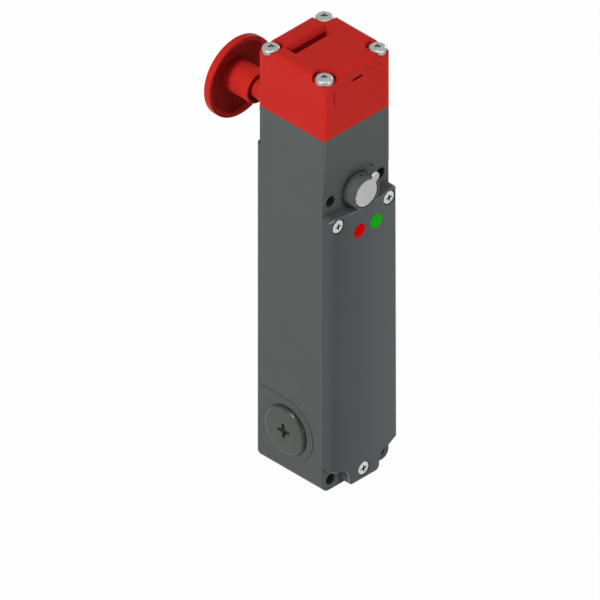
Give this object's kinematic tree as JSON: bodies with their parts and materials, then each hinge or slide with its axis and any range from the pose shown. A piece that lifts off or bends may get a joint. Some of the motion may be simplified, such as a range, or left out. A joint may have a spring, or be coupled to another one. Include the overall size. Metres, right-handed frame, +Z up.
{
  "type": "tongue interlock switch",
  "caption": "Tall guard door interlock switch with a slotted red head, a front cover with two lamps, a capped release and a red mushroom escape button behind.",
  "frame": {"origin": "centre of the bottom cable entry's mouth, on the head's axis, in the plane of the housing's foot", "axes": "+Z up from the foot to the head, -Y out of the front cover, +Y out of the escape button, +X to the right when the back is looked at from behind with the head up, so the plug the picture shows is on -X"},
  "size_m": [0.0448, 0.0837, 0.2147],
  "materials": {
    "housing_plastic": "fine moulded texture, satin",
    "cover_plastic": "fine moulded texture, satin",
    "red_plastic": "smooth moulded",
    "grey_plastic": "satin",
    "plug_plastic": "satin",
    "dark_plastic": "satin",
    "white_plastic": "satin",
    "red_lens": "clear-coated",
    "green_lens": "clear-coated",
    "lamp": "smooth",
    "board": "lacquered",
    "zinc_steel": "zinc plated",
    "spring_steel": "drawn wire",
    "soft_iron": "turned",
    "brass": "stamped",
    "copper_wire": "enamelled winding",
    "rubber": "moulded"
  },
  "bodies": {
    "switch_frame": {"housing": "housing_plastic", "cover": "cover_plastic", "cover_gasket": "rubber", "head_gasket": "rubber", "head_casing": "red_plastic", "front_slot_blank": "red_plastic", "cover_screws": "zinc_steel", "head_screws": "zinc_steel", "chassis_screws": "zinc_steel", "bearing_plates": "zinc_steel", "solenoid_yoke": "soft_iron", "coil_bobbin": "white_plastic", "solenoid_coil": "copper_wire", "solenoid_core": "soft_iron", "lock_spring": "spring_steel", "rod_spring": "spring_steel", "contact_block": "dark_plastic", "terminal_clamps": "brass", "fixed_contacts": "brass", "terminal_screws": "zinc_steel", "chassis_plate": "zinc_steel", "rod_guide": "dark_plastic", "earth_terminal": "brass", "earth_screw": "zinc_steel", "red_lens": "red_lens", "green_lens": "green_lens", "led_board": "board", "led_emitters": "lamp", "led_board_screws": "zinc_steel", "left_entry_plug": "plug_plastic", "right_entry_plug": "plug_plastic", "entry_plug_seals": "rubber", "escape_bush": "housing_plastic", "escape_seal": "rubber"},
    "cam": {"cam_wheel": "zinc_steel", "cam_spindle": "zinc_steel"},
    "rod": {"switch_rod": "white_plastic", "contact_bridges": "brass"},
    "lock": {"lock_bolt": "zinc_steel", "solenoid_plunger": "soft_iron", "link_pin": "zinc_steel"},
    "escape": {"escape_button": "red_plastic", "escape_stem": "red_plastic", "escape_wedge": "zinc_steel"},
    "release": {"release_spindle": "zinc_steel", "release_seal": "rubber", "release_circlip": "spring_steel", "release_crank": "zinc_steel"},
    "cap": {"release_cap": "grey_plastic"}
  },
  "joints": [
    {"name": "cam_turn", "type": "hinge", "parent": "switch_frame", "child": "cam", "pos_m": [0, 0, 0.19565], "axis": [-1, 0, 0], "range_deg": [0, 50]},
    {"name": "switch_rod_slide", "type": "slide", "parent": "switch_frame", "child": "rod", "axis": [0, 0, 1], "range_m": [0, 0.004], "deforming": ["rod_spring"]},
    {"name": "escape_button_push", "type": "slide", "parent": "switch_frame", "child": "escape", "axis": [0, -1, 0], "range_m": [0, 0.008]},
    {"name": "lock_slide", "type": "slide", "parent": "switch_frame", "child": "lock", "axis": [0, 0, -1], "range_m": [0, 0.0041], "deforming": ["lock_spring"]},
    {"name": "release_spindle_turn", "type": "hinge", "parent": "switch_frame", "child": "release", "pos_m": [0, 0, 0.15], "axis": [0, 1, 0], "range_deg": [0, 180]},
    {"name": "release_cap_off", "type": "slide", "parent": "switch_frame", "child": "cap", "axis": [0, -1, 0], "range_m": [0, 0.02]}
  ],
  "couplings": [
    {"joint": "cam_turn", "follows": "switch_rod_slide", "rad_per_m": 218.16},
    {"joint": "lock_slide", "follows": "escape_button_push", "ratio": 0.5}
  ]
}
